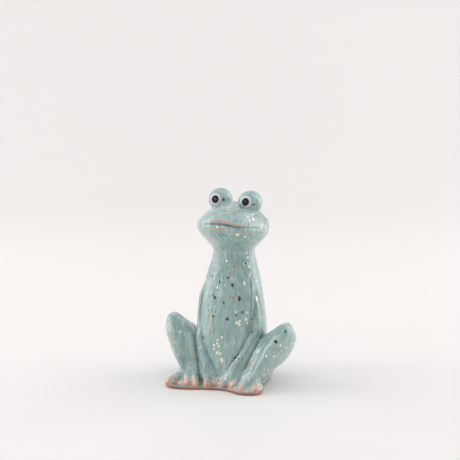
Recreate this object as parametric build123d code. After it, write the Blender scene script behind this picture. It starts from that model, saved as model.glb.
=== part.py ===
from build123d import *
import os
from math import cos, pi, sin, tau

os.makedirs("parts", exist_ok=True)

# A seated frog figurine in glazed earthenware, in millimetres.
# +Z is up and the frog looks along -Y.  Its own right side is -X.
# The origin is on the table, under the middle of the body.
# Both sides have the same castings.  The legs mirror each other, and the arms,
# hands, toes and base differ a little from side to side, as hand work does.

# Base slab
BASE_THICKNESS = 3.0
BASE_HALF_WIDTH = 52.0
BASE_FRONT = 55.0
BASE_BACK = 37.0
RIM_HEIGHT = 1.0
RIM_INSET = 1.5
VENT_DIAMETER = 9.0
VENT_SETBACK = 12.0

# Clay wall of the hollow castings
WALL = 4.5

# Body casting
BODY_HEIGHT = 127.0
BODY_HALF_WIDTH = 33.8
BODY_FRONT = 35.5
BODY_BACK = 40.0
BODY_LEAN = 1.3

# Head casting
HEAD_HEIGHT = 46.5
HEAD_HALF_WIDTH = 34.4
HEAD_FRONT = 39.5
HEAD_BACK = 39.0
MOUTH_DEPTH = 1.2
MOUTH_GAPE = 1.4
MOUTH_HEIGHT = 20.5
MOUTH_SLOPE_ANGLE = 13.0
MOUTH_CORNER_REACH = 6.0
NECK_OVERLAP = 1.5
HEAD_TURN_ANGLE = 4.0
HEAD_ROLL_ANGLE = 1.2

# Eyes
EYE_DOME_DIAMETER = 23.6
EYE_SPACING = 31.6
EYE_SEAT_DEPTH = 11.8
EYE_SETBACK = 7.0
EYE_LIFT_ANGLE = 11.0
EYE_SPLAY_ANGLE = 1.0
EYE_GLANCE_ANGLE = 3.0
WHITE_DIAMETER = 12.0
WHITE_THICKNESS = 2.4
WHITE_RIM_GAP = 0.4
WHITE_BULGE = 0.3
PUPIL_DIAMETER = 7.8
PUPIL_THICKNESS = 1.3
PUPIL_RIM_GAP = 0.25
PUPIL_BULGE = 0.6

# Hind legs
LEG_HEIGHT = 59.4
LEG_OUT = 66.5
LEG_FRONT = 44.0
LEG_BACK = 24.0
LEG_MIDDLE = 10.0
SHIN_RADIUS = 7.0

# Hind feet
FOOT_MIDDLE = 30.0
FOOT_FRONT = 46.0
FOOT_HALF_WIDTH = 12.5
FOOT_OUT = 32.5
FOOT_HEIGHT = 17.0
TOE_RADIUS = 4.0

# Arms
ARM_RADIUS = 8.0
SHOULDER_HEIGHT = 92.0

# Hands
HAND_MIDDLE = 28.0
HAND_FRONT = 41.5
HAND_HALF_WIDTH = 11.5
HAND_OUT = 12.0
HAND_HEIGHT = 19.0
FINGER_RADIUS = 3.6

# Construction
RING_POINTS = 12
OVERRUN = 10.0
SIDES = {"right": -1, "left": 1}

# Height, half width, front reach and back reach of each slice of the body,
# as shares of the body's own sizes.
body_slice_shares = [
    (0.00, 0.770, 0.760, 0.875),
    (0.10, 0.902, 0.930, 0.975),
    (0.21, 0.982, 1.000, 1.000),
    (0.37, 1.000, 0.972, 0.950),
    (0.512, 0.950, 0.880, 0.870),
    (0.638, 0.885, 0.775, 0.805),
    (0.732, 0.825, 0.685, 0.765),
    (0.827, 0.745, 0.570, 0.735),
    (0.921, 0.640, 0.435, 0.705),
    (1.00, 0.582, 0.360, 0.690),
]

# The same for the head, whose first slice is the body's last one.
head_slice_shares = [
    (0.083, 0.665, 0.410, 0.770),
    (0.208, 0.825, 0.560, 0.860),
    (0.333, 0.950, 0.745, 0.940),
    (0.458, 1.000, 0.890, 0.985),
    (0.563, 0.990, 0.970, 1.000),
    (0.646, 0.920, 1.000, 0.970),
    (0.729, 0.810, 0.975, 0.900),
    (0.813, 0.680, 0.900, 0.800),
    (0.880, 0.550, 0.770, 0.690),
    (0.935, 0.410, 0.590, 0.540),
    (0.975, 0.260, 0.380, 0.350),
    (1.00, 0.090, 0.130, 0.120),
]

# Height, inner side, outer side, front, back and pinch of each slice of a folded hind leg.
leg_slice_shares = [
    (0.00, 0.330, 0.560, 0.970, 0.750, 0.45),
    (0.15, 0.340, 0.645, 0.985, 0.917, 0.55),
    (0.29, 0.360, 0.780, 0.970, 1.000, 0.50),
    (0.45, 0.390, 0.890, 0.900, 0.917, 0.40),
    (0.61, 0.450, 0.965, 0.780, 0.667, 0.35),
    (0.76, 0.560, 1.000, 0.680, 0.417, 0.30),
    (0.88, 0.690, 0.985, 0.550, 0.083, 0.20),
    (0.96, 0.770, 0.965, 0.430, -0.080, 0.10),
    (1.00, 0.825, 0.930, 0.360, -0.170, 0.00),
]

# Across, forward, up and radius at points down the inner edge of a shin.
shin_shares = [
    (0.620, 0.32, 0.74, 0.45),
    (0.540, 0.44, 0.62, 0.75),
    (0.490, 0.58, 0.42, 0.93),
    (0.436, 0.68, 0.22, 1.00),
    (0.421, 0.75, 0.08, 1.00),
    (0.415, 0.77, -0.02, 1.00),
]

# The same down each arm, from inside the shoulder to the hand.
arm_shares = {
    "right": [
        (0.636, 0.197, 1.054, 0.375),
        (0.734, 0.220, 0.880, 0.750),
        (0.728, 0.259, 0.710, 0.925),
        (0.698, 0.383, 0.560, 0.960),
        (0.669, 0.558, 0.430, 0.985),
        (0.562, 0.715, 0.300, 0.975),
        (0.432, 0.845, 0.185, 1.000),
        (0.370, 0.930, 0.087, 0.875),
        (0.355, 0.972, -0.010, 0.800),
    ],
    "left": [
        (0.607, 0.197, 1.054, 0.375),
        (0.692, 0.220, 0.880, 0.750),
        (0.757, 0.259, 0.710, 0.925),
        (0.805, 0.383, 0.560, 0.960),
        (0.787, 0.563, 0.430, 0.985),
        (0.669, 0.721, 0.300, 0.975),
        (0.503, 0.862, 0.185, 1.000),
        (0.400, 0.944, 0.087, 0.875),
        (0.373, 0.986, -0.010, 0.800),
    ],
}

# Height, half width, front reach and sideways place of each slice of a foot or a hand.
foot_slice_shares = [
    (0.00, 1.15, 1.05, 1.00),
    (0.12, 1.10, 1.02, 1.00),
    (0.35, 0.95, 0.92, 0.98),
    (0.70, 0.80, 0.83, 0.95),
    (1.00, 0.55, 0.77, 0.93),
]
hand_slice_shares = [
    (0.00, 1.00, 1.00, 1.00),
    (0.35, 0.96, 0.93, 1.00),
    (0.70, 0.88, 0.86, 1.00),
    (1.00, 0.65, 0.79, 1.10),
]

pad_pinch_share = -0.30

# How far out each foot and hand stands, as a share of the usual place.
foot_place_shares = {"right": 1.05, "left": 0.88}
hand_place_shares = {"right": 0.75, "left": 1.08}

# Root and tip of each toe and finger: across, forward and up, then the radii at both.
toe_shares = {
    "right": [
        ((0.712, 0.655, 0.470), (0.896, 0.891, 0.082), 1.05, 1.20),
        ((0.592, 0.682, 0.588), (0.565, 0.860, 0.059), 0.85, 0.95),
        ((0.496, 0.645, 0.676), (0.404, 0.842, 0.059), 0.83, 0.90),
    ],
    "left": [
        ((0.690, 0.664, 0.500), (0.769, 0.791, 0.065), 0.90, 0.94),
        ((0.577, 0.673, 0.588), (0.496, 0.824, 0.065), 0.85, 0.98),
        ((0.471, 0.618, 0.706), (0.300, 0.760, 0.071), 0.85, 0.93),
    ],
}
finger_shares = {
    "right": [
        ((0.279, 0.609, 0.684), (0.185, 0.809, 0.053), 0.86, 1.00),
        ((0.144, 0.618, 0.552), (0.065, 0.718, 0.105), 0.80, 0.89),
    ],
    "left": [
        ((0.269, 0.627, 0.658), (0.085, 0.742, 0.073), 0.86, 1.00),
        ((0.144, 0.624, 0.579), (0.008, 0.673, 0.158), 0.75, 0.80),
    ],
}

# Plan of the base from its front middle round the frog's left side, its back and its right side.
base_outline_shares = [
    (-0.01, 0.82), (0.18, 0.82), (0.38, 0.89), (0.53, 0.925), (0.69, 0.89), (0.82, 0.82), (0.855, 0.71),
    (0.83, 0.565), (0.77, 0.36), (0.74, 0.09), (0.70, -0.19), (0.53, -0.50), (0.37, -0.80), (0.14, -0.98),
    (-0.14, -0.98), (-0.37, -0.80), (-0.53, -0.50), (-0.70, -0.19), (-0.74, 0.09), (-0.79, 0.39),
    (-0.87, 0.595), (-0.95, 0.74), (-0.98, 0.85), (-0.90, 0.97), (-0.77, 1.00), (-0.54, 0.97), (-0.20, 0.86),
]

base_top = BASE_THICKNESS
neck_height = base_top + BODY_HEIGHT
neck_setback = (body_slice_shares[-1][3] * BODY_BACK - body_slice_shares[-1][2] * BODY_FRONT) / 2
eye_dome_radius = EYE_DOME_DIAMETER / 2
eye_centre_height = neck_height + HEAD_HEIGHT + eye_dome_radius - EYE_SEAT_DEPTH


def ring_face(height, middle, half_width, front, back, across=0.0, pinch=0.0):
    """A level egg-shaped face, narrower in front by the pinch."""
    points = []
    for step in range(RING_POINTS):
        angle = tau * step / RING_POINTS + pi / 2
        side, rear = cos(angle), sin(angle)
        reach = back if rear >= 0 else front
        x = across + half_width * side * (1 + pinch * rear)
        points.append(Vector(x, middle + reach * rear, height))
    return Face(Wire([Edge.make_spline(points, periodic=True)]))


def tube(points, radii):
    """A round limb with a ring across its path at each point."""
    rings = []
    for index, point in enumerate(points):
        before = points[max(index - 1, 0)]
        after = points[min(index + 1, len(points) - 1)]
        rings.append(Plane(origin=point, z_dir=after - before) * Circle(radii[index]))
    return loft(rings)


def main_solid(shape):
    """The largest solid of a cut shape."""
    return shape.solids().sort_by(SortBy.VOLUME)[-1]


def body_slices(fit_share=1.0):
    """The body's slices, drawn in to a share of their width and depth."""
    faces = []
    for height, width, front, back in body_slice_shares:
        half_width = BODY_HALF_WIDTH * width * fit_share
        front_reach = BODY_FRONT * front * fit_share
        back_reach = BODY_BACK * back * fit_share
        z = base_top + BODY_HEIGHT * height
        faces.append(ring_face(z, 0, half_width, front_reach, back_reach, BODY_LEAN * height))
    return faces


def head_slices(fit_share=1.0, crown_drop=0.0):
    """The head's slices, from the neck up to the crown."""
    faces = [Pos(0, 0, -NECK_OVERLAP) * body_slices(fit_share)[-1]]
    for height, width, front, back in head_slice_shares:
        half_width = HEAD_HALF_WIDTH * width * fit_share
        front_reach = HEAD_FRONT * front * fit_share
        back_reach = HEAD_BACK * back * fit_share
        z = neck_height + (HEAD_HEIGHT - crown_drop) * height
        faces.append(ring_face(z, 0, half_width, front_reach, back_reach, BODY_LEAN))
    return faces


def head_pose():
    """The small turn and roll of the head about the middle of the neck."""
    neck = Pos(0, neck_setback, neck_height)
    return neck * Rot(0, 0, -HEAD_TURN_ANGLE) * Rot(0, HEAD_ROLL_ANGLE, 0) * neck.inverse()


def above(shape, height):
    """Keeps what stands above a level."""
    size = 2 * (LEG_OUT + BASE_FRONT)
    room = Box(size, size, size, align=(Align.CENTER, Align.CENTER, Align.MIN))
    return shape & (Pos(0, 0, height) * room)


def make_body():
    hollow_share = 1 - WALL / BODY_HALF_WIDTH
    return loft(body_slices()) - loft(body_slices(hollow_share))


def make_mouth_groove():
    """A thin sloping slot round the front of the head, no deeper than the lips."""
    core_share = 1 - MOUTH_DEPTH / HEAD_HALF_WIDTH
    core = loft(head_slices(core_share))
    length = HEAD_FRONT + OVERRUN
    width = 2 * (HEAD_HALF_WIDTH + OVERRUN)
    slot = Box(width, length, MOUTH_GAPE, align=(Align.CENTER, Align.MAX, Align.CENTER))
    place = Pos(0, -MOUTH_CORNER_REACH, neck_height + MOUTH_HEIGHT) * Rot(-MOUTH_SLOPE_ANGLE, 0, 0)
    return (place * slot) - core


def make_head_core():
    """The head without its hollow, turned and rolled, down to the neck joint."""
    return above(head_pose() * loft(head_slices()), neck_height)


def make_head(core):
    hollow_share = 1 - WALL / BODY_HALF_WIDTH
    hollow = head_pose() * loft(head_slices(hollow_share, WALL))
    return core - hollow - head_pose() * make_mouth_groove()


def eye_place(side):
    """The middle of an eye dome, turned so that local Z is where the eye looks."""
    x = side * EYE_SPACING / 2
    turn = Rot(0, 0, side * EYE_SPLAY_ANGLE - EYE_GLANCE_ANGLE) * Rot(90 - EYE_LIFT_ANGLE, 0, 0)
    return head_pose() * Pos(x, EYE_SETBACK, eye_centre_height) * turn


def eye_inlay(radius, floor, bulge):
    """A round inlay on a flat floor, crowned like the dome and proud of it by the bulge."""
    blank = Pos(0, 0, floor) * Cylinder(radius, eye_dome_radius, align=(Align.CENTER, Align.CENTER, Align.MIN))
    return blank & Sphere(eye_dome_radius + bulge)


def make_eye(side, head):
    """The dome with its pocket, the white in the pocket and the pupil in the white."""
    place = eye_place(side)
    white_floor = eye_dome_radius - WHITE_THICKNESS
    pupil_floor = eye_dome_radius - PUPIL_THICKNESS
    white_radius = WHITE_DIAMETER / 2
    pupil_radius = PUPIL_DIAMETER / 2
    pocket = eye_inlay(white_radius + WHITE_RIM_GAP, white_floor, OVERRUN)
    socket = eye_inlay(pupil_radius + PUPIL_RIM_GAP, pupil_floor, OVERRUN)
    dome = place * (Sphere(eye_dome_radius) - pocket)
    white = place * (eye_inlay(white_radius, white_floor, WHITE_BULGE) - socket)
    pupil = place * eye_inlay(pupil_radius, pupil_floor, PUPIL_BULGE)
    return main_solid(dome - head), main_solid(white - head), main_solid(pupil)


def make_leg():
    faces = []
    for height, inner, outer, front, back, pinch in leg_slice_shares:
        across = LEG_OUT * (inner + outer) / 2
        half_width = LEG_OUT * (outer - inner) / 2
        front_reach = LEG_FRONT * front - LEG_MIDDLE
        back_reach = LEG_BACK * back + LEG_MIDDLE
        z = base_top + LEG_HEIGHT * height
        faces.append(ring_face(z, -LEG_MIDDLE, half_width, front_reach, back_reach, across, pinch))
    shin = make_limb(shin_shares, LEG_OUT, LEG_FRONT, LEG_HEIGHT, SHIN_RADIUS)
    return main_solid(loft(faces) + shin)


def make_limb(path_shares, width, depth, rise, radius):
    """A round limb down to the base, along shares of a width, a depth and a rise."""
    points, radii = [], []
    for across, forward, up, thickness in path_shares:
        points.append(Vector(width * across, -depth * forward, base_top + rise * up))
        radii.append(radius * thickness)
    return above(tube(points, radii), base_top)


def make_digit(root, tip, root_radius, tip_radius, rise):
    """A tapered toe or finger with round ends."""
    ends = []
    for across, forward, up in (root, tip):
        x = BASE_HALF_WIDTH * across
        ends.append(Vector(x, -BASE_FRONT * forward, base_top + rise * up))
    shaft = tube(ends, [root_radius, tip_radius])
    return shaft + Pos(ends[0]) * Sphere(root_radius) + Pos(ends[1]) * Sphere(tip_radius)


def make_pad(slice_shares, rise, half_width, front, middle, out):
    """The webbed top of a foot or the back of a hand, a fan that widens forward."""
    faces = []
    for height, width, reach, place in slice_shares:
        front_reach = front * reach - middle
        z = base_top + rise * height
        across = out * place
        faces.append(ring_face(z, -middle, half_width * width, front_reach, front_reach / 2, across, pad_pinch_share))
    return loft(faces)


def make_foot(side):
    out = FOOT_OUT * foot_place_shares[side]
    pad = make_pad(foot_slice_shares, FOOT_HEIGHT, FOOT_HALF_WIDTH, FOOT_FRONT, FOOT_MIDDLE, out)
    for root, tip, root_share, tip_share in toe_shares[side]:
        pad += make_digit(root, tip, TOE_RADIUS * root_share, TOE_RADIUS * tip_share, FOOT_HEIGHT)
    return above(pad, base_top)


def make_hand(side):
    out = HAND_OUT * hand_place_shares[side]
    pad = make_pad(hand_slice_shares, HAND_HEIGHT, HAND_HALF_WIDTH, HAND_FRONT, HAND_MIDDLE, out)
    for root, tip, root_share, tip_share in finger_shares[side]:
        pad += make_digit(root, tip, FINGER_RADIUS * root_share, FINGER_RADIUS * tip_share, HAND_HEIGHT)
    half = 2 * BASE_FRONT
    own_side = Box(half, half, half, align=(Align.MIN, Align.CENTER, Align.CENTER))
    return above(pad, base_top) & own_side


def base_face(inset=0.0):
    """The plan of the base, drawn in by the inset."""
    points = []
    for across, forward in base_outline_shares:
        reach = BASE_FRONT if forward >= 0 else BASE_BACK
        points.append(Vector((BASE_HALF_WIDTH - inset) * across, (inset - reach) * forward))
    return Face(Wire([Edge.make_spline(points, periodic=True)]))


def make_base():
    """A slab with an unglazed foot rim set in below it and a round vent."""
    slab = Pos(0, 0, RIM_HEIGHT) * extrude(base_face(), base_top - RIM_HEIGHT)
    rim = extrude(base_face(RIM_INSET), RIM_HEIGHT)
    vent = Pos(0, VENT_SETBACK, 0) * Cylinder(VENT_DIAMETER / 2, 2 * base_top)
    return main_solid(slab + rim - vent)


def make_limbs(side, body_core):
    """One side's limbs with that side towards +X, each cut to sit against the ones before it."""
    leg = main_solid(make_leg() - body_core)
    arm = make_limb(arm_shares[side], BODY_HALF_WIDTH, BODY_FRONT, SHOULDER_HEIGHT, ARM_RADIUS)
    arm = main_solid(arm - body_core - leg)
    foot = main_solid(make_foot(side) - leg - arm - body_core)
    hand = main_solid(make_hand(side) - arm - body_core - leg - foot)
    return {"hind_leg": leg, "arm": arm, "hind_foot": foot, "hand": hand}


def make_parts():
    """Every casting by its name."""
    body_core = loft(body_slices())
    head_core = make_head_core()
    parts = {"base": make_base(), "body": main_solid(make_body()), "head": main_solid(make_head(head_core))}
    for limb, solid in make_limbs("left", body_core).items():
        parts[f"{limb}_left"] = solid
    for limb, solid in make_limbs("right", mirror(body_core, about=Plane.YZ)).items():
        parts[f"{limb}_right"] = mirror(solid, about=Plane.YZ)
    for name, side in SIDES.items():
        dome, white, pupil = make_eye(side, head_core)
        parts[f"eye_dome_{name}"] = dome
        parts[f"eye_white_{name}"] = white
        parts[f"pupil_{name}"] = pupil
    return parts


if __name__ == "__main__":
    for name, solid in make_parts().items():
        export_step(solid, f"parts/{name}.step")
        print(name, round(solid.volume))
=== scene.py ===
"""Dresses a glazed earthenware frog that sits upright with its hands between its feet.

The clay skin is worked out as one smooth surface in millimetres and then cut into the
castings it was put together from, so that the glaze runs over the joints unbroken.
"""

import itertools
import logging
import math
from abc import ABC, abstractmethod
from collections.abc import Sequence
from dataclasses import dataclass
from enum import Enum

import bpy
import numpy as np
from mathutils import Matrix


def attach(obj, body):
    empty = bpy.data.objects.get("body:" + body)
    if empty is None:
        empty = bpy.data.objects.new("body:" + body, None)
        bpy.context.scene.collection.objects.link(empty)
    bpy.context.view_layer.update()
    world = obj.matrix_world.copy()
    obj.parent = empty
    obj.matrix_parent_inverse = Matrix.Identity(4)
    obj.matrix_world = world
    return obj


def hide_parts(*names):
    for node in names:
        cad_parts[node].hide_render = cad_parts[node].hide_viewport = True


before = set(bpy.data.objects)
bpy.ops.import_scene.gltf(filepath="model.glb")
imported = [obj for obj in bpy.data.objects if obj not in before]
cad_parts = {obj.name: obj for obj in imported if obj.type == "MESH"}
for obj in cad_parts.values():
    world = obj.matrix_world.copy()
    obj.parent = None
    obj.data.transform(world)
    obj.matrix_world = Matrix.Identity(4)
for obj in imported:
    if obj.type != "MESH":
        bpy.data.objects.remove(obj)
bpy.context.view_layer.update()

MM = 0.001
FAR = 7.0
HASH_STEPS = np.array([374761393, 668265263, 915488749])

Array = np.ndarray
Socket = bpy.types.NodeSocket
Pair = tuple[float, float]
Triple = tuple[float, float, float]
Quad = tuple[float, float, float, float]
Digit = tuple[Triple, Triple, float, float]
Colour = tuple[float, float, float, float]

log = logging.getLogger("frog")


# Helpers for smooth shapes


def soft_union(first: Array, second: Array, reach: float) -> Array:
    """Joins two distance fields with a fillet that spreads over the reach, in millimetres."""
    share = np.clip(0.5 + 0.5 * (second - first) / reach, 0.0, 1.0)
    return second + (first - second) * share - reach * share * (1.0 - share)


def ramp(values: Array, start: float, end: float) -> Array:
    """Rises smoothly from 0 to 1 as a value goes from start to end, which may lie below start."""
    share = np.clip((values - start) / (end - start), 0.0, 1.0)
    return share * share * (3.0 - 2.0 * share)


def bell(gap: Array, width: float) -> Array:
    """Falls smoothly from 1 at no gap to about a third at the width."""
    return np.exp(-((gap / width) ** 2))


def faded(along: Array, start: float, end: float) -> Array:
    """Fades a line in up to one share of its length and out from another."""
    return ramp(along, 0.0, start) * ramp(along, 1.0, end)


def turn_matrix(angle: float, first: int, second: int) -> Array:
    """The turn that carries one axis towards another.

    Args:
        angle: The turn in degrees.
        first: The number of the axis that is carried.
        second: The number of the axis that it turns towards.

    Returns:
        The turn as a matrix.
    """
    matrix = np.eye(3)
    matrix[first, first] = matrix[second, second] = math.cos(math.radians(angle))
    matrix[second, first] = math.sin(math.radians(angle))
    matrix[first, second] = -matrix[second, first]
    return matrix


def summed(numbers: Array, rows: Array, size: int) -> Array:
    """Adds up the rows that have the same number, for each number below the size."""
    return np.column_stack([np.bincount(numbers, column, size) for column in rows.T])


def run_gap(points: Array, start: Array, run: Array) -> tuple[Array, Array]:
    """How far places lie from a straight run, and the share of it that is passed beside them."""
    share = np.clip((points - start) @ run / (run @ run + 1e-9), 0.0, 1.0)
    return np.linalg.norm(points - start - share[:, None] * run, axis=1), share


def new_piece(name: str, places: Array, faces: Sequence[Sequence[int]]) -> bpy.types.Object:
    """Makes a smooth piece of geometry.

    Args:
        name: The piece's name.
        places: Its places in metres.
        faces: The places of each face, by number.

    Returns:
        The piece, linked to the scene.
    """
    mesh = bpy.data.meshes.new(name)
    mesh.from_pydata(places.tolist(), [], faces)
    mesh.update()
    mesh.shade_smooth()
    piece = bpy.data.objects.new(name, mesh)
    bpy.context.scene.collection.objects.link(piece)
    return piece


def dress(piece: bpy.types.Object, node: str, finish: bpy.types.Material) -> None:
    """Gives a piece its finish, puts it in the frame and reports it.

    Args:
        piece: The piece.
        node: The node of the frame that it replaces.
        finish: Its material.
    """
    piece.data.materials.append(finish)
    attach(piece, "root")
    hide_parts(node)
    log.info("%s has %d faces", piece.name, len(piece.data.polygons))


def lattice(cells: Array, seed: int) -> Array:
    """A repeatable number from 0 to 1 for each whole-numbered cell.

    Args:
        cells: Cell numbers, three to a row.
        seed: The number of the pattern.

    Returns:
        One number for each row.
    """
    code = cells.astype(np.int64) @ HASH_STEPS + seed * 69069
    code = (code ^ (code >> 13)) & 0xFFFFFFFF
    code = (code * 1274126177) & 0xFFFFFFFF
    return ((code ^ (code >> 16)) & 0xFFFF) / 65535.0


def grain(points: Array, sizes: Triple, seed: int) -> Array:
    """Smooth unevenness whose lumps have the given sizes.

    Args:
        points: Places in millimetres.
        sizes: Length of a lump along each axis.
        seed: The number of the pattern.

    Returns:
        A number from -1 to 1 for each place.
    """
    scaled = points / np.asarray(sizes)
    cell = np.floor(scaled)
    part = ramp(scaled - cell, 0.0, 1.0)
    total = np.zeros(len(points))
    for corner in itertools.product((0, 1), repeat=3):
        weight = np.where(np.asarray(corner), part, 1.0 - part).prod(axis=1)
        total += weight * lattice(cell + corner, seed)
    return 2.0 * total - 1.0


def smooth_path(stops: Array, steps: int) -> Array:
    """Rounds a path of stops with a spline that passes through all of them.

    Args:
        stops: The stops, one to a row, with any number of columns.
        steps: How many pieces each run between two stops gets.

    Returns:
        The rounded path, one place to a row.
    """
    padded = np.vstack([2 * stops[0] - stops[1], stops, 2 * stops[-1] - stops[-2]])
    rows = []
    for index in range(1, len(padded) - 2):
        before, start, end, after = padded[index - 1 : index + 3]
        for step in range(steps):
            t = step / steps
            bend = (2 * before - 5 * start + 4 * end - after) * t * t
            twist = (3 * start - before - 3 * end + after) * t * t * t
            rows.append(0.5 * (2 * start + (end - before) * t + bend + twist))
    rows.append(stops[-1])
    return np.array(rows)


# Forms


class Form(ABC):
    """A solid shape that is known by its distance field, in millimetres."""

    low: Array
    high: Array

    @abstractmethod
    def measure(self, points: Array) -> Array:
        """Distances from places near the form to its surface, negative inside."""

    def distance(self, points: Array) -> Array:
        """Distances from any places to the surface, rough where they are far off.

        Args:
            points: Places in millimetres.

        Returns:
            One distance for each place, negative inside.
        """
        outside = np.maximum(np.maximum(self.low - points, points - self.high), 0.0)
        away = np.sqrt((outside * outside).sum(axis=1))
        result = away + FAR
        near = away < FAR
        if near.any():
            result[near] = self.measure(points[near])
        return result


class SliceStack(Form):
    """A rounded column given by level egg-shaped slices."""

    def __init__(self, slices: Sequence[Sequence[float]]) -> None:
        """Rounds the column through its slices.

        Args:
            slices: Height, half width, front reach, back reach, sideways place,
                middle and pinch of each slice.
        """
        table = smooth_path(np.array(slices, dtype=float), 12)
        self.levels = table[:, 0]
        self.columns = table[:, 1:].T
        width, front, back, across, middle, pinch = self.columns
        spread = width * (1.0 + np.abs(pinch))
        self.low = np.array([(across - spread).min(), (middle - front).min(), self.levels[0]])
        self.high = np.array([(across + spread).max(), (middle + back).max(), self.levels[-1]])

    def girth(self, points: Array, height: Array) -> Array:
        """Level distance to the slice at a height.

        Args:
            points: Places in millimetres.
            height: The height at which each place is compared.

        Returns:
            One distance for each place, negative inside.
        """
        width, front, back, across, middle, pinch = (
            np.interp(height, self.levels, column) for column in self.columns
        )
        depth = points[:, 1] - middle
        reach = np.where(depth >= 0, back, front)
        along = depth / reach
        width = width * (1.0 + pinch * np.clip(along, -1.0, 1.0))
        side = (points[:, 0] - across) / width
        size = np.hypot(side, along) + 1e-9
        steepness = np.hypot(side / width, along / reach) + 1e-9 / width
        return (size - 1.0) * size / steepness

    def measure(self, points: Array) -> Array:
        """Distances to the column, evened out where its sides slope.

        Args:
            points: Places in millimetres.

        Returns:
            One distance for each place, negative inside.
        """
        height = np.clip(points[:, 2], self.levels[0], self.levels[-1])
        side = self.girth(points, height)
        slope = self.girth(points, height + 0.5) - self.girth(points, height - 0.5)
        side = side / np.sqrt(1.0 + slope * slope)
        over = np.maximum(self.levels[0] - points[:, 2], points[:, 2] - self.levels[-1])
        return np.where(over > 0, np.hypot(np.maximum(side, 0.0), over), np.maximum(side, over))


class Limb(Form):
    """A round limb that follows a bent path and swells and thins along it."""

    def __init__(self, path: Sequence[Triple], radii: Sequence[float], steps: int = 4) -> None:
        """Rounds the limb through its stops.

        Args:
            path: Places down the middle of the limb.
            radii: Its radius at each of them.
            steps: How many pieces each run gets; 1 keeps the runs straight.
        """
        stops = smooth_path(np.column_stack([np.array(path), np.array(radii)]), steps)
        self.places, self.radii = stops[:, :3], stops[:, 3]
        self.low = (self.places - self.radii[:, None]).min(axis=0)
        self.high = (self.places + self.radii[:, None]).max(axis=0)

    def measure(self, points: Array) -> Array:
        """Distances to the nearest run of the limb.

        Args:
            points: Places in millimetres.

        Returns:
            One distance for each place, negative inside.
        """
        best = np.full(len(points), 1e3)
        for index, (run, growth) in enumerate(zip(np.diff(self.places, axis=0), np.diff(self.radii))):
            gap, share = run_gap(points, self.places[index], run)
            best = np.minimum(best, gap - self.radii[index] - share * growth)
        return best


class Ball(Form):
    """A ball of clay."""

    def __init__(self, centre: Array, radius: float) -> None:
        """Places the ball."""
        self.centre, self.radius = centre, radius
        self.low, self.high = centre - radius, centre + radius

    def measure(self, points: Array) -> Array:
        """Distances to the ball."""
        return np.linalg.norm(points - self.centre, axis=1) - self.radius


class Slab(Form):
    """A flat plate with a curved outline and rounded edges."""

    def __init__(self, outline: Array, bottom: float, top: float, edge: float) -> None:
        """Cuts the plate to its outline.

        Args:
            outline: Places round its edge, two to a row.
            bottom: Height of its underside.
            top: Height of its upper side.
            edge: Radius of its rounded edge.
        """
        self.outline, self.bottom, self.top, self.edge = outline, bottom, top, edge
        low, high = outline.min(axis=0), outline.max(axis=0)
        self.low = np.array([low[0], low[1], bottom])
        self.high = np.array([high[0], high[1], top])

    def measure(self, points: Array) -> Array:
        """Distances to the plate.

        Args:
            points: Places in millimetres.

        Returns:
            One distance for each place, negative inside.
        """
        flat = points[:, :2]
        gap = np.full(len(flat), 1e3)
        crossings = np.zeros(len(flat), dtype=int)
        for start, end in zip(self.outline, np.roll(self.outline, -1, axis=0)):
            run = end - start
            gap = np.minimum(gap, run_gap(flat, start, run)[0])
            spans = (start[1] > flat[:, 1]) != (end[1] > flat[:, 1])
            if abs(run[1]) > 1e-9:
                meets = start[0] + (flat[:, 1] - start[1]) / run[1] * run[0]
                crossings += spans & (flat[:, 0] < meets)
        side = np.where(crossings % 2 == 1, -gap, gap) + self.edge
        rise = np.abs(points[:, 2] - (self.bottom + self.top) / 2)
        rise = rise - (self.top - self.bottom) / 2 + self.edge
        outer = np.hypot(np.maximum(side, 0.0), np.maximum(rise, 0.0))
        return outer + np.minimum(np.maximum(side, rise), 0.0) - self.edge


class Gathered(Form):
    """Several forms pressed together into one."""

    def __init__(self, forms: Sequence[Form], softness: float) -> None:
        """Gathers the forms.

        Args:
            forms: The forms to press together.
            softness: How far the clay is smoothed where they meet.
        """
        self.forms, self.softness = list(forms), softness
        self.low = np.min([form.low for form in forms], axis=0)
        self.high = np.max([form.high for form in forms], axis=0)

    def measure(self, points: Array) -> Array:
        """Distances to the joined forms.

        Args:
            points: Places in millimetres.

        Returns:
            One distance for each place, negative inside.
        """
        total = self.forms[0].distance(points)
        for form in self.forms[1:]:
            total = soft_union(total, form.distance(points), self.softness)
        return total


@dataclass(frozen=True)
class Pose:
    """A turn about a pivot, or the mirroring of one side of the frog to the other."""

    pivot: Array
    matrix: Array

    def place(self, points: Array) -> Array:
        """Moves places on a straight form to where the posed form has them."""
        return (points - self.pivot) @ self.matrix.T + self.pivot

    def straighten(self, points: Array) -> Array:
        """Moves places on the posed form back to the straight one."""
        return (points - self.pivot) @ self.matrix + self.pivot


class Posed(Form):
    """A form that is turned or mirrored."""

    def __init__(self, form: Form, pose: Pose) -> None:
        """Turns or mirrors a form.

        Args:
            form: The straight form.
            pose: Its turn or mirroring.
        """
        self.form, self.pose = form, pose
        turned = pose.place(np.array(list(itertools.product(*zip(form.low, form.high)))))
        self.low, self.high = turned.min(axis=0), turned.max(axis=0)

    def measure(self, points: Array) -> Array:
        """Distances to the posed form."""
        return self.form.measure(self.pose.straighten(points))


# Castings


class Side(Enum):
    """The frog's own two sides."""

    RIGHT = -1
    LEFT = 1

    @property
    def label(self) -> str:
        """The word that the node names use."""
        return self.name.lower()


@dataclass(frozen=True)
class Casting:
    """One clay piece of the skin and how it is luted to those before it."""

    node: str
    form: Form
    softness: float
    groove: float = 0.0
    groove_width: float = 1.0
    brush: Triple = (0.0, 0.0, 1.0)
    ceiling: float = math.inf


MIRRORING = Pose(np.zeros(3), np.diag([-1.0, 1.0, 1.0]))


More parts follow.
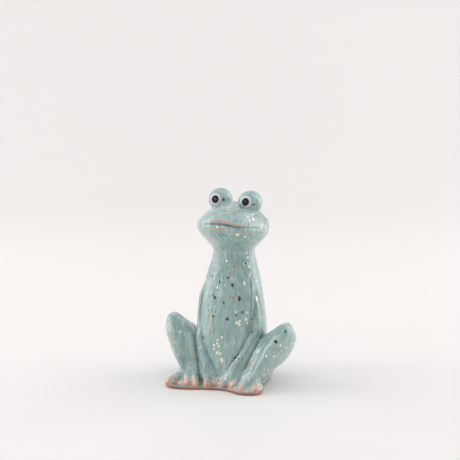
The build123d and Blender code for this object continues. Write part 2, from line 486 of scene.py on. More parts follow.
def sided(form: Form, side: Side) -> Form:
    """A form made for the frog's left, mirrored where it is for the right."""
    return form if side is Side.LEFT else Posed(form, MIRRORING)


@dataclass
class Torso:
    """The upright body, widest at the belly and drawn in to the neck."""

    bottom: float = 3.0
    height: float = 127.0
    half_width: float = 33.8
    front: float = 35.5
    back: float = 40.0
    lean: float = 1.3
    sunk_foot: float = 3.0
    sunk_neck: float = 4.0
    slices: Sequence[Quad] = (
        (0.00, 0.770, 0.760, 0.875),
        (0.10, 0.902, 0.930, 0.975),
        (0.21, 0.982, 1.000, 1.000),
        (0.37, 1.000, 0.972, 0.950),
        (0.512, 0.950, 0.880, 0.870),
        (0.638, 0.885, 0.775, 0.805),
        (0.732, 0.825, 0.685, 0.765),
        (0.827, 0.745, 0.570, 0.735),
        (0.921, 0.640, 0.435, 0.705),
        (1.00, 0.582, 0.360, 0.690),
    )

    def rows(self) -> list[tuple[float, ...]]:
        """The body's slices at their real sizes.

        Returns:
            The slices from the foot up, as a stack of slices takes them.
        """
        rows = []
        for up, wide, fore, aft in self.slices:
            sides = (self.half_width * wide, self.front * fore, self.back * aft)
            rows.append((self.bottom + self.height * up, *sides, self.lean * up, 0.0, 0.0))
        return rows

    def casting(self) -> Casting:
        """The body as a casting, with more clay sunk into the slab and the head.

        Returns:
            The casting.
        """
        rows = self.rows()
        foot = (rows[0][0] - self.sunk_foot, *rows[0][1:])
        neck = (rows[-1][0] + self.sunk_neck, *rows[-1][1:])
        return Casting("body", SliceStack([foot, *rows, neck]), 1.0)


@dataclass
class Head:
    """The broad flat head with its wide mouth."""

    torso: Torso
    height: float = 46.5
    half_width: float = 34.4
    front: float = 39.5
    back: float = 39.0
    turn_angle: float = 4.0
    roll_angle: float = 1.2
    sunk: float = 1.5
    slices: Sequence[Quad] = (
        (0.083, 0.665, 0.410, 0.770),
        (0.208, 0.825, 0.560, 0.860),
        (0.333, 0.950, 0.745, 0.940),
        (0.458, 1.000, 0.890, 0.985),
        (0.563, 0.990, 0.970, 1.000),
        (0.646, 0.920, 1.000, 0.970),
        (0.729, 0.810, 0.975, 0.900),
        (0.813, 0.680, 0.900, 0.800),
        (0.880, 0.550, 0.770, 0.690),
        (0.935, 0.410, 0.590, 0.540),
        (0.975, 0.260, 0.380, 0.350),
        (1.00, 0.090, 0.130, 0.120),
    )

    @property
    def neck(self) -> float:
        """Height of the neck joint."""
        return self.torso.bottom + self.torso.height

    def pose(self) -> Pose:
        """How the head sits on the neck.

        Returns:
            The head's turn about the middle of the neck.
        """
        top = self.torso.rows()[-1]
        turn = turn_matrix(-self.turn_angle, 0, 1) @ turn_matrix(self.roll_angle, 2, 0)
        return Pose(np.array([0.0, (top[3] - top[2]) / 2, self.neck]), turn)

    def casting(self) -> Casting:
        """The head as a casting.

        Returns:
            The casting.
        """
        top = self.torso.rows()[-1]
        rows = [(top[0] - self.sunk, *top[1:])]
        for up, wide, fore, aft in self.slices:
            sides = (self.half_width * wide, self.front * fore, self.back * aft)
            rows.append((self.neck + self.height * up, *sides, self.torso.lean, 0.0, 0.0))
        return Casting("head", Posed(SliceStack(rows), self.pose()), 2.0, 0.15, 1.2)


@dataclass
class Eye:
    """A round eye dome with a white enamel disc and a black pupil let into it."""

    head: Head
    side: Side
    dome_radius: float = 11.8
    spacing: float = 31.6
    height: float = 46.5
    setback: float = 7.0
    lift_angle: float = 11.0
    splay_angle: float = 1.0
    glance_angle: float = 3.0
    white_radius: float = 6.0
    pupil_radius: float = 3.9
    white_proud: float = 0.35
    pupil_proud: float = 0.75
    white_thickness: float = 2.4
    pupil_thickness: float = 1.3
    pocket_depth: float = 0.9
    roll_height: float = 0.22

    def middle(self) -> Array:
        """Centre of the dome."""
        straight = np.array([self.side.value * self.spacing / 2, self.setback, self.head.neck + self.height])
        return self.head.pose().place(straight)

    def gaze(self) -> Array:
        """The direction the eye looks in.

        Returns:
            The direction, with a length of 1.
        """
        lift = math.radians(self.lift_angle)
        turn = math.radians(self.side.value * self.splay_angle - self.glance_angle)
        level = math.cos(lift)
        return self.head.pose().matrix @ [level * math.sin(turn), -level * math.cos(turn), math.sin(lift)]

    def casting(self) -> Casting:
        """The dome as a casting."""
        return Casting(f"eye_dome_{self.side.label}", Ball(self.middle(), self.dome_radius), 3.2, 0.25, 1.2)

    def sink(self, points: Array) -> Array:
        """How deep the skin is pressed in to seat the disc, with a small roll of clay round it.

        Args:
            points: Places in millimetres.

        Returns:
            The depth at each place.
        """
        offset = points - self.middle()
        ahead = offset @ self.gaze()
        off_axis = np.linalg.norm(offset - ahead[:, None] * self.gaze(), axis=1)
        pocket = self.pocket_depth * ramp(off_axis, self.white_radius + 0.55, self.white_radius - 0.2)
        roll = self.roll_height * bell(off_axis - self.white_radius - 1.3, 0.7)
        return np.where(ahead > 0, pocket - roll, 0.0)

    def disc(self, name: str, radius: float, floor: float, proud: float, edge: float) -> bpy.types.Object:
        """A crowned round inlay with a rounded rim, turned about the eye's axis.

        Args:
            name: The piece's name.
            radius: Radius of the inlay.
            floor: How far its flat back lies from the dome's centre.
            proud: How far its crown stands out of the dome.
            edge: Radius of its rounded rim.

        Returns:
            The inlay.
        """
        crown, flat, turns = self.dome_radius + proud, radius - edge, 64
        profile = [(flat * step / 12, math.sqrt(crown**2 - (flat * step / 12) ** 2)) for step in range(13)]
        rim = profile[-1][1]
        for angle in np.linspace(0.0, math.pi / 2, 6)[1:]:
            profile.append((flat + edge * math.sin(angle), rim - edge * (1 - math.cos(angle))))
        profile += [(radius, floor), (0.0, floor)]
        axis = self.gaze()
        across = np.cross(axis, [0.0, 0.0, 1.0])
        across /= np.linalg.norm(across)
        angles = np.arange(turns)[:, None] * math.tau / turns
        spokes = across * np.cos(angles) + np.cross(axis, across) * np.sin(angles)
        rings = [self.middle() + axis * ahead + spokes * reach for reach, ahead in profile]
        places = np.vstack([rings[0][:1], *rings[1:-1], rings[-1][:1]])
        last, faces = len(places) - 1, []
        for turn in range(turns):
            after = (turn + 1) % turns
            faces += [(0, 1 + turn, 1 + after), (last, last - turns + after, last - turns + turn)]
            for start in range(1, last - turns, turns):
                faces.append((start + turn, start + turns + turn, start + turns + after, start + after))
        piece = new_piece(name, places * MM, faces)
        piece.data.set_sharp_from_angle(angle=math.radians(50))
        return piece

    def build(self, white: bpy.types.Material, black: bpy.types.Material) -> None:
        """Makes the white disc and the pupil and puts them in the frame.

        Args:
            white: The finish of the disc.
            black: The finish of the pupil.
        """
        word = self.side.label
        floor = self.dome_radius - self.white_thickness
        disc = self.disc(f"white_disc_{word}", self.white_radius, floor, self.white_proud, 0.35)
        dress(disc, f"eye_white_{word}", white)
        floor = self.dome_radius - self.pupil_thickness
        pupil = self.disc(f"black_pupil_{word}", self.pupil_radius, floor, self.pupil_proud, 0.6)
        dress(pupil, f"pupil_{word}", black)


@dataclass
class HindLeg:
    """A folded hind leg: thigh and shin pressed together up to the knee."""

    side: Side
    bottom: float = 3.0
    height: float = 59.4
    out: float = 66.5
    front: float = 44.0
    back: float = 24.0
    middle: float = 10.0
    slices: Sequence[tuple[float, float, float, float, float, float]] = (
        (0.00, 0.330, 0.560, 0.970, 0.750, 0.45),
        (0.15, 0.340, 0.645, 0.985, 0.917, 0.55),
        (0.29, 0.360, 0.780, 0.970, 1.000, 0.50),
        (0.45, 0.390, 0.890, 0.900, 0.917, 0.40),
        (0.61, 0.450, 0.965, 0.780, 0.667, 0.35),
        (0.76, 0.560, 1.000, 0.680, 0.417, 0.30),
        (0.88, 0.690, 0.985, 0.550, 0.083, 0.20),
        (0.96, 0.770, 0.965, 0.430, -0.080, 0.10),
        (1.00, 0.825, 0.930, 0.360, -0.170, 0.00),
    )
    inner_path: Sequence[Triple] = (
        (41.2, -14.0, 47.0), (35.9, -19.4, 39.8), (32.6, -25.5, 28.0), (29.0, -30.0, 16.0),
        (28.0, -33.0, 7.8),
    )  # fmt: skip
    inner_radii: Sequence[float] = (3.2, 5.2, 6.5, 7.0, 7.0)

    def casting(self) -> Casting:
        """The leg as a casting.

        Returns:
            The casting.
        """
        rows = []
        for up, inner, outer, fore, aft, pinch in self.slices:
            width, across = self.out * (outer - inner) / 2, self.out * (outer + inner) / 2
            reach = (self.front * fore - self.middle, self.back * aft + self.middle)
            rows.append((self.bottom + self.height * up, width, *reach, across, -self.middle, pinch))
        rows[0] = (rows[0][0] - self.bottom, *rows[0][1:])
        shin = Limb(self.inner_path, self.inner_radii)
        form = sided(Gathered([SliceStack(rows), shin], 6.0), self.side)
        brush = (self.side.value * 0.42, 0.5, 0.76)
        return Casting(f"hind_leg_{self.side.label}", form, 1.6, 0.7, 1.0, brush)


@dataclass
class Paw:
    """A low fan of clay with round digits, each given by its root, its tip and the radii there."""

    side: Side
    out: float
    digits: Sequence[Digit]
    word: str
    middle: float
    front: float
    half_width: float
    height: float
    brush: Triple
    crest_clay: float
    slices: Sequence[Quad]
    bottom: float = 3.0
    pinch: float = -0.3
    softness: float = 2.2
    rim_clay: float = 1.0

    def casting(self) -> Casting:
        """The paw as a casting.

        Returns:
            The casting.
        """
        rows = []
        for up, wide, reach, place in self.slices:
            fore = self.front * reach - self.middle
            level, width = self.bottom + self.height * up, self.half_width * wide
            rows.append((level, width, fore, fore / 2, self.out * place, -self.middle, self.pinch))
        digits = [Limb((root, tip), (thick, thin), 1) for root, tip, thick, thin in self.digits]
        form = sided(Gathered([SliceStack(rows), *digits], self.softness), self.side)
        return Casting(f"{self.word}_{self.side.label}", form, 4.0, 0.1, 1.0, self.brush)


@dataclass
class HindFoot(Paw):
    """A webbed hind foot with three toes."""

    word: str = "hind_foot"
    middle: float = 30.0
    front: float = 46.0
    half_width: float = 12.5
    height: float = 17.0
    brush: Triple = (0.0, -0.8, 0.6)
    crest_clay: float = 0.9
    slices: Sequence[Quad] = (
        (-0.15, 1.15, 1.05, 1.0),
        (0.00, 1.15, 1.05, 1.0),
        (0.12, 1.10, 1.02, 1.0),
        (0.35, 0.95, 0.92, 0.98),
        (0.70, 0.80, 0.83, 0.95),
        (1.00, 0.55, 0.77, 0.93),
    )


@dataclass
class Arm:
    """An arm that hugs the body and comes down in front of the leg."""

    side: Side
    path: Sequence[Triple]
    radii: Sequence[float] = (3.0, 6.0, 7.4, 7.7, 7.9, 7.8, 8.0, 7.0)

    def casting(self) -> Casting:
        """The arm as a casting."""
        form = sided(Limb(self.path, self.radii), self.side)
        return Casting(f"arm_{self.side.label}", form, 1.6, 0.9, 1.0, (0.0, 0.1, 1.0))


@dataclass
class Hand(Paw):
    """A hand laid flat between the feet, with two fingers."""

    word: str = "hand"
    middle: float = 28.0
    front: float = 41.5
    half_width: float = 11.5
    height: float = 19.0
    softness: float = 2.4
    brush: Triple = (0.0, -0.7, 0.7)
    rim_clay: float = 0.3
    crest_clay: float = 1.4
    slices: Sequence[Quad] = (
        (-0.15, 1.0, 1.0, 1.0),
        (0.00, 1.0, 1.0, 1.0),
        (0.35, 0.96, 0.93, 1.0),
        (0.70, 0.88, 0.86, 1.0),
        (1.00, 0.65, 0.79, 1.1),
    )


@dataclass
class Base:
    """The thin clay slab under the frog."""

    half_width: float = 52.0
    front: float = 55.0
    back: float = 37.0
    top: float = 3.0
    clearance: float = 0.3
    edge: float = 0.9
    outline: Sequence[Pair] = (
        (-0.01, 0.82), (0.18, 0.82), (0.38, 0.89), (0.53, 0.925), (0.69, 0.89), (0.82, 0.82),
        (0.855, 0.71), (0.83, 0.565), (0.77, 0.36), (0.74, 0.09), (0.70, -0.19), (0.53, -0.50),
        (0.37, -0.80), (0.14, -0.98), (-0.14, -0.98), (-0.37, -0.80), (-0.53, -0.50), (-0.70, -0.19),
        (-0.74, 0.09), (-0.79, 0.39), (-0.87, 0.595), (-0.95, 0.74), (-0.98, 0.85), (-0.90, 0.97),
        (-0.77, 1.00), (-0.54, 0.97), (-0.20, 0.86),
    )  # fmt: skip

    def plan(self) -> Array:
        """The slab's rounded outline.

        Returns:
            Places in millimetres, two to a row.
        """
        ring = []
        for across, forward in self.outline:
            reach = self.front if forward >= 0 else self.back
            ring.append((self.half_width * across, -reach * forward))
        return smooth_path(np.array([*ring, ring[0]]), 3)[:-1]

    def casting(self) -> Casting:
        """The slab as a casting, so that the clay above runs down onto it."""
        form = Slab(self.plan(), self.clearance, self.top, self.edge)
        return Casting("base", form, 1.6, 0.2, 0.8, ceiling=self.top + 0.05)

    def dress(self, finish: bpy.types.Material) -> None:
        """Puts the clay finish on the slab and reports it.

        Args:
            finish: The finish of the slab.
        """
        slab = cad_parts["base"]
        slab.data.materials.clear()
        slab.data.materials.append(finish)
        log.info("%s has %d faces", slab.name, len(slab.data.polygons))


# Details that are brushed, pressed and spattered on


@dataclass(frozen=True)
class Viewpoint:
    """Where the photographer stands, as seen from the frog."""

    azimuth: float = 20.0
    pitch: float = 10.5
    distance: float = 1082.0
    shift_right: float = 2.0
    shift_up: float = 146.5
    frame_width: float = 460.0

    def axes(self) -> Array:
        """The directions to the photographer's right, ahead and up, one to a row."""
        return (turn_matrix(self.azimuth, 0, 1) @ turn_matrix(-self.pitch, 1, 2)).T

    def place(self) -> Array:
        """Where the lens is, in millimetres."""
        right, ahead, upward = self.axes()
        return -(ahead * self.distance) - right * self.shift_right + upward * self.shift_up

    def seen(self, points: Array) -> tuple[Array, Array]:
        """Where places appear, in millimetres right of and above the frog's foot point.

        Args:
            points: Places in millimetres.

        Returns:
            The apparent places, two to a row, and how far ahead each one is.
        """
        right, ahead, upward = self.axes()
        offset = points - self.place()
        depth = offset @ ahead
        across = offset @ right / depth * self.distance - self.shift_right
        height = offset @ upward / depth * self.distance + self.shift_up
        return np.column_stack([across, height]), depth

    def nearest(self, points: Array, marks: Sequence[Pair]) -> Array:
        """Finds the places of the skin that appear at given marks.

        Args:
            points: The skin's places.
            marks: Apparent places.

        Returns:
            One place of the skin for each mark.
        """
        flat, depth = self.seen(points)
        found = []
        for mark in marks:
            gap = np.linalg.norm(flat - np.array(mark), axis=1)
            close = gap < max(1.0, gap.min() * 1.2)
            front = depth[close].min()
            choice = np.nonzero(close & (depth < front + 6.0))[0]
            found.append(points[choice[gap[choice].argmin()]])
        return np.array(found)


def line_gap(points: Array, line: Array) -> tuple[Array, Array]:
    """How far places lie from a line on the skin.

    Args:
        points: Places in millimetres.
        line: Places along the line.

    Returns:
        The distance of each place, and how far along the line it is, from 0 to 1.
    """
    low, high = line.min(axis=0) - 6.0, line.max(axis=0) + 6.0
    near = ((points > low) & (points < high)).all(axis=1)
    gap, along = np.full(len(points), 99.0), np.zeros(len(points))
    chosen = points[near]
    best, where = np.full(len(chosen), 99.0), np.zeros(len(chosen))
    runs = len(line) - 1
    for index in range(runs):
        reach, share = run_gap(chosen, line[index], line[index + 1] - line[index])
        closer = reach < best
        best[closer] = reach[closer]
        where[closer] = (index + share[closer]) / runs
    gap[near], along[near] = best, where
    return gap, along


@dataclass
class Mouth:
    """The wide mouth: a line darkened with glaze pooling and painted shade, between a clay-red upper lip and
    a small lower one.
    """

    view: Viewpoint
    upper: Sequence[Pair] = (
        (-32.5, 152.8), (-27.0, 153.4), (-22.0, 154.3), (-19.0, 155.4), (-15.5, 156.3), (-11.0, 155.6),
        (-6.0, 154.2), (-1.0, 152.8), (5.0, 151.6), (12.0, 151.2), (20.0, 150.9), (28.0, 149.8),
        (33.0, 148.6),
    )  # fmt: skip
    upper_height: float = 0.8
    lower_height: float = 1.0
    parting_depth: float = 0.5
    gape_depth: float = 1.4
    parting: Sequence[Pair] = (
        (-31.0, 151.6), (-25.0, 152.0), (-19.0, 152.6), (-13.0, 152.4), (-7.0, 151.5), (-1.0, 149.9),
        (5.0, 148.9), (12.0, 148.5), (20.0, 148.3), (28.0, 147.6), (32.0, 147.0),
    )  # fmt: skip
    lower: Sequence[Pair] = (
        (-24.5, 151.0), (-21.0, 149.3), (-15.5, 148.2), (-10.0, 148.3), (-4.5, 149.3), (0.5, 150.0),
    )  # fmt: skip

    def press(self, points: Array) -> tuple[Array, Array, Array]:
        """Shapes the lips on the skin.

        Args:
            points: The skin's places.

        Returns:
            How far each place is raised, how much bare clay shows there, and how much the parting is
            darkened by glaze pooling and painted shade.
        """
        marks = (self.upper, self.parting, self.lower)
        lines = [line_gap(points, smooth_path(self.view.nearest(points, row), 4)) for row in marks]
        (upper, along_upper), (parting, along), (lower, along_lower) = lines
        upper_fade = ramp(along_upper, 0.05, 0.25) * ramp(along_upper, 0.95, 0.6)
        lower_fade = np.sin(np.pi * along_lower)
        depth = self.parting_depth + self.gape_depth * faded(along, 0.2, 0.8) * ramp(along, 1.0, 0.4)
        rise = self.upper_height * upper_fade * bell(upper, 1.2) - depth * bell(parting, 1.1)
        rise += self.lower_height * lower_fade * bell(lower, 1.3)
        clay = (0.35 * ramp(along_upper, 0.95, 0.8) + 0.65 * upper_fade) * ramp(upper, 0.95, 0.3)
        clay = np.maximum(clay, lower_fade * ramp(lower, 0.85, 0.3))
        # The last share darkens the parting: glaze pooling, with painted shade where the gap lies in shadow.
        return rise, clay, ramp(along, 0.1, 0.3) * ramp(along, 1.0, 0.45) * bell(parting, 0.75)


@dataclass
class ArmLines:
    """The line pressed between each upper arm and the belly, with its raised inner edge."""

    view: Viewpoint
    depth: float = 0.85
    edge_height: float = 0.35
    marks: Sequence[Pair] = (
        (17.5, 104.0), (18.3, 97.0), (18.8, 88.0), (18.9, 78.0), (18.8, 69.0), (18.5, 61.5), (17.4, 54.0),
        (15.6, 47.0), (13.2, 40.0), (9.8, 33.0),
    )  # fmt: skip

    def press(self, points: Array) -> tuple[Array, Array]:
        """Presses both lines into the skin.

        Args:
            points: The skin's places.

        Returns:
            How far each place is raised, and how much the line is darkened by glaze pooling and painted
            shade there.
        """
        left = smooth_path(self.view.nearest(points, self.marks), 3)
        wanted = MIRRORING.place(left)
        right = np.array([points[((points - place) ** 2).sum(axis=1).argmin()] for place in wanted])
        rise, pooled_and_shaded = np.zeros(len(points)), np.zeros(len(points))
        for line in (left, right):
            gap, along = line_gap(points, line)
            fade = faded(along, 0.2, 0.75)
            rise += fade * (self.edge_height * bell(gap - 2.0, 1.2) - self.depth * bell(gap, 0.95))
            # Painted shade along the pressed line, together with the glaze pooling in it.
            pooled_and_shaded = np.maximum(pooled_and_shaded, 0.35 * fade * bell(gap, 0.9))
        return rise, pooled_and_shaded


@dataclass
class Flecks:
    """Flecks of mineral in the glaze, where the photographer sees them and strewn elsewhere.

    Places are in millimetres right of and above the frog's foot point, then the radius.
    """

    view: Viewpoint
    cream: Sequence[Triple] = (
        (5.0, 141.8, 1.1), (6.2, 141.4, 0.8), (12.7, 139.5, 0.9), (21.3, 157.5, 1.1), (20.0, 162.4, 0.7),
        (21.6, 162.0, 0.7), (16.0, 159.5, 0.7), (17.8, 156.2, 0.5), (29.5, 148.8, 1.0), (34.3, 147.2, 1.0),
        (30.5, 151.8, 0.6), (15.0, 123.7, 0.7), (15.5, 119.0, 0.8), (12.7, 112.5, 0.8), (17.0, 109.7, 0.9),
        (19.0, 101.5, 0.9), (24.7, 95.7, 0.6), (12.5, 94.2, 0.7), (12.7, 92.4, 0.7), (24.7, 78.2, 1.0),
        (24.7, 77.2, 0.8), (14.7, 64.0, 0.6), (3.5, 64.3, 0.6), (14.3, 57.3, 0.8), (8.0, 55.2, 0.8),
        (4.7, 53.8, 0.9), (7.3, 51.7, 0.9), (15.2, 53.5, 0.5), (-10.2, 39.3, 0.7), (-14.8, 36.2, 0.6),
        (-15.0, 33.5, 0.6), (-18.0, 31.0, 0.7), (-13.8, 30.5, 0.6), (-18.0, 27.5, 0.6), (-14.8, 23.7, 0.9),
        (-11.8, 23.0, 0.8), (-10.7, 16.9, 1.0), (-10.0, 15.8, 0.9), (-51.7, 45.0, 0.9), (48.5, 31.2, 0.9),
        (54.5, 29.0, 0.7), (60.0, 33.0, 0.6), (34.2, 20.5, 0.7), (42.0, 20.0, 0.6), (36.0, 6.7, 0.9),
        (32.7, 6.5, 0.8), (38.5, 4.0, 0.7), (32.7, 1.5, 1.0), (31.2, 1.2, 0.7), (41.0, 1.5, 0.6),
        (-3.0, 168.8, 0.5),
    )  # fmt: skip
    honey: Sequence[Triple] = (
        (-14.0, 163.0, 0.7), (-10.0, 163.0, 0.8), (-5.3, 163.5, 0.8), (-2.3, 166.5, 0.8),
        (-5.3, 168.7, 0.5), (-0.8, 172.5, 0.6), (-8.8, 158.3, 0.5), (6.0, 135.7, 0.5), (23.5, 50.5, 0.7),
        (23.6, 49.4, 0.6), (-21.5, 51.8, 0.8), (-21.4, 50.0, 0.8), (-21.3, 48.6, 0.6), (-24.8, 44.3, 0.8),
        (-37.7, 20.7, 0.7), (-57.5, 34.0, 0.6), (-59.5, 39.7, 0.6), (-41.7, 43.7, 0.7), (-53.3, 21.8, 0.8),
        (-9.5, 12.7, 0.6), (59.8, 39.0, 0.5), (43.0, 6.7, 0.7), (58.0, 44.0, 0.4), (-33.0, 148.0, 0.4),
    )  # fmt: skip
    umber: Sequence[Triple] = (
        (-8.5, 176.8, 0.8), (22.2, 171.5, 0.7), (16.5, 152.2, 0.8), (-20.0, 100.3, 0.8), (-4.0, 98.7, 0.9),
        (-12.7, 94.5, 0.8), (0.5, 91.7, 0.9), (0.5, 90.6, 0.7), (-17.5, 79.0, 1.0), (-16.8, 78.6, 0.8),
        (-19.0, 81.2, 0.6), (7.3, 78.6, 0.9), (7.1, 77.0, 0.9), (7.4, 75.8, 0.6), (-8.5, 73.7, 0.6),
        (-23.0, 66.2, 0.6), (-18.8, 60.5, 0.8), (10.5, 64.3, 0.6), (4.0, 61.0, 0.5), (-4.8, 57.2, 0.9),
        (-5.4, 57.2, 0.8), (19.7, 57.7, 0.7), (-29.2, 39.4, 1.1), (-28.6, 38.6, 0.9), (3.0, 18.5, 0.7),
        (6.5, 18.0, 0.6), (43.6, 35.3, 1.1), (44.4, 34.6, 0.9), (53.5, 45.0, 0.7), (19.8, 44.5, 0.5),
        (13.3, 112.8, 0.6), (19.7, 101.6, 0.5),
    )  # fmt: skip
    rust: Sequence[Triple] = (
        (1.8, 164.5, 0.6), (2.3, 109.3, 1.0), (-2.5, 102.5, 0.8), (-4.0, 122.0, 0.5), (-22.3, 79.5, 0.7),
        (0.8, 78.5, 0.8), (-23.3, 59.0, 0.7), (-45.3, 25.8, 0.9), (31.3, 47.5, 0.7), (34.2, 43.0, 1.0),
        (18.0, 11.0, 0.8), (1.3, 9.0, 0.7), (55.5, 24.0, 0.6), (2.0, 15.5, 0.6), (43.0, 6.7, 0.7),
    )  # fmt: skip
    strewn: int = 150
    least: float = 0.45
    spare: float = 0.55

    def spread(self, points: Array, marks: Sequence[Triple], seed: int) -> Array:
        """How far each place lies outside the nearest fleck of one kind.

        Args:
            points: The skin's places.
            marks: The flecks that the photographer sees.
            seed: The number of the pattern that strews the unseen sides.

        Returns:
            The distance of each place, negative inside a fleck.
        """
        centres = list(self.view.nearest(points, [mark[:2] for mark in marks]))
        radii = [mark[2] for mark in marks]
        unseen = np.nonzero((points[:, 1] > 4.0) & (points[:, 2] > 12.0))[0]
        draw = lattice(np.array([[index, seed, 7] for index in range(2 * self.strewn)]), seed)
        for index in range(self.strewn):
            centres.append(points[unseen[int(draw[2 * index] * (len(unseen) - 1))]])
            radii.append(self.least + self.spare * draw[2 * index + 1] ** 2)
        gap = np.full(len(points), 3.0)
        order = np.argsort(points[:, 2])
        heights = points[order, 2]
        for centre, radius in zip(centres, radii):
            first, last = np.searchsorted(heights, [centre[2] - 3.5, centre[2] + 3.5])
            some = order[first:last]
            stretched = (points[some] - centre) * np.array([1.0, 1.0, 0.8])
            gap[some] = np.minimum(gap[some], np.linalg.norm(stretched, axis=1) - radius)
        return gap


@dataclass
class Toes:
    """Bare clay where the glaze breaks thin over the toes and fingers."""

    paws: Sequence[Paw]
    highest: Pair = (12.5, 9.0)
    low_edge: Pair = (7.6, 4.2)
    front_edge: Pair = (35.0, 41.0)

    def clay(self, points: Array, normals: Array) -> Array:
        """How much bare clay shows at each place.

        Args:
            points: The skin's places.
            normals: The way the skin faces at each place.

        Returns:
            A share from 0 to 1 for each place.
        """
        share, level = np.zeros(len(points)), np.array([1.0, 1.0, 0.0])
        facing = ramp(normals[:, 2] - normals[:, 1], 0.1, 0.5)
        for paw in self.paws:
            for root, tip, _, radius in paw.digits:
                ends = np.array([root, np.array(tip) * 1.25 - np.array(root) * 0.25])
                gap, along = line_gap(points * level, ends * level * [paw.side.value, 1.0, 1.0])
                rim = paw.rim_clay * bell(gap - 0.60 * radius, 1.1)
                crest = paw.crest_clay * bell(gap, paw.crest_clay) * ramp(along, 0.4, 0.8)
                share = np.maximum(share, ramp(along, 0.2, 0.5) * facing * np.maximum(rim, crest))
        share *= ramp(points[:, 2], *self.highest)
        low = ramp(points[:, 2], *self.low_edge) * ramp(-points[:, 1], *self.front_edge)
        return np.maximum(share, 0.95 * low * (1.0 - 0.5 * np.clip(normals[:, 2], 0.0, 1.0)))


# The skin


class Skin:
    """The whole clay surface, meshed as one and cut into its castings.

    The last casting is the slab, which also takes the flat sole inside it.
    """

    batch: int = 200000
    sole: float = 0.5
    seam_width: float = 1.6
    seam_groove: float = 0.5
    lid_depth: float = 1.5

    def __init__(self, castings: Sequence[Casting], step: float = 1.25) -> None:
        """Meshes the joined castings.

        Args:
            castings: The castings in the order they are put together.
            step: Spacing of the first coarse mesh, in millimetres.
        """
        self.castings = list(castings)
        points, quads = self.net(step)
        points, self.quads = self.split(self.settle(self.relax(points, quads)), quads)
        self.points = self.settle(self.relax(points, self.quads), 3)
        self.owners = self.joined(self.points[self.quads].mean(axis=1))[1]
        self.normals = self.facing(self.points)
        self.seams = self.joined(self.points)[2]
        self.traits: dict[str, Array] = {}

    def joined(self, points: Array) -> tuple[Array, Array, Array]:
        """Distance to the whole skin, which casting is nearest, and where limbs are luted on.

        Args:
            points: Places in millimetres.

        Returns:
            The distance of each place, the number of its casting and its nearness to a seam.
        """
        total = self.castings[0].form.distance(points)
        nearest, owner, seam = total.copy(), np.zeros(len(points), dtype=int), np.zeros(len(points))
        for index, casting in enumerate(self.castings[1:], 1):
            own = casting.form.distance(points)
            if casting.groove > self.seam_groove:
                seam = np.maximum(seam, bell(own - total, self.seam_width))
            crease = casting.groove * bell(own - total, casting.groove_width)
            total = soft_union(total, own, casting.softness) + crease
            owner[(own < nearest) & (points[:, 2] < casting.ceiling)] = index
            nearest = np.minimum(nearest, own)
        owner[points[:, 2] < self.sole + 0.5] = len(self.castings) - 1
        return np.maximum(total, self.sole - points[:, 2]), owner, seam

    def distance(self, points: Array) -> Array:
        """Distance to the whole skin, in pieces that fit in memory."""
        parts = np.array_split(points, max(1, len(points) // self.batch))
        return np.concatenate([self.joined(part)[0] for part in parts])

    def net(self, step: float) -> tuple[Array, Array]:
        """Wraps a coarse net of four-sided faces round the skin.

        Args:
            step: Spacing of the net, in millimetres.

        Returns:
            The net's places and faces.
        """
        low = np.min([casting.form.low for casting in self.castings], axis=0) - 2 * step
        high = np.max([casting.form.high for casting in self.castings], axis=0) + 2 * step
        axes = [np.arange(start, end, step) for start, end in zip(low, high)]
        shape = tuple(len(axis) for axis in axes)
        places = np.stack(np.meshgrid(*axes, indexing="ij"), axis=-1).reshape(-1, 3)
        values = self.distance(places).reshape(shape)
        inside = values < 0
        cells = tuple(size - 1 for size in shape)

        def corner(grid: Array, offset: tuple[int, ...]) -> Array:
            """The part of a grid that holds one corner of every cell."""
            return grid[tuple(slice(start, start + size) for start, size in zip(offset, cells))]

        corners = list(itertools.product((0, 1), repeat=3))
        count = sum(corner(inside, offset).astype(int) for offset in corners)
        active = (count > 0) & (count < 8)
        chosen = np.argwhere(active)
        number = np.full(cells, -1)
        number[active] = np.arange(len(chosen))
        total, crossings = np.zeros((len(chosen), 3)), np.zeros(len(chosen))
        for first, second in itertools.combinations(corners, 2):
            way = np.array(second) - first
            if np.abs(way).sum() != 1:
                continue
            near, far = corner(values, first)[active], corner(values, second)[active]
            cut = (near < 0) != (far < 0)
            share = np.where(cut, near / np.where(cut, near - far, 1.0), 0.0)
            total += np.where(cut[:, None], first + share[:, None] * way, 0.0)
            crossings += cut
        quads = []
        for axis in range(3):
            span = [slice(1, size - 1) for size in shape]
            here = inside[(*span[:axis], slice(0, -1), *span[axis + 1 :])]
            there = inside[(*span[:axis], slice(1, None), *span[axis + 1 :])]
            sides = [other for other in range(3) if other != axis]
            for start_inside in (True, False):
                found = np.argwhere((here != there) & (here == start_inside))
                found[:, sides] += 1
                ring = []
                for back in ((0, 0), (1, 0), (1, 1), (0, 1)):
                    cell = found.copy()
                    cell[:, sides] -= back
                    ring.append(number[tuple(cell.T)])
                outward = start_inside == (axis != 1)
                quads.append(np.column_stack(ring if outward else ring[::-1]))
        return (chosen + total / crossings[:, None]) * step + low, np.vstack(quads)

    def relax(self, points: Array, quads: Array) -> Array:
        """Evens out the spacing of the net.

        Args:
            points: The net's places.
            quads: Its faces.

        Returns:
            The evened places.
        """
        here = np.tile(quads.ravel(), 2)
        beside = np.concatenate([np.roll(quads, step, axis=1).ravel() for step in (1, -1)])
        total = summed(here, points[beside], len(points))
        return 0.4 * points + 0.6 * total / np.bincount(here)[:, None]

    def slope(self, points: Array, value: Array, small: float = 0.05) -> Array:
        """How the distance grows along each axis from its known value, over a small step."""
        return np.column_stack([(self.distance(points + small * way) - value) / small for way in np.eye(3)])

    def settle(self, points: Array, rounds: int = 2) -> Array:
        """Moves places onto the skin.

        Args:
            points: Places near the skin.
            rounds: How many times they are moved.

        Returns:
            The moved places.
        """
        for _ in range(rounds):
            value = self.distance(points)
            growth = self.slope(points, value)
            steep = np.maximum((growth * growth).sum(axis=1), 0.15)
            points = points - np.clip(value / steep, -1.5, 1.5)[:, None] * growth
        return points

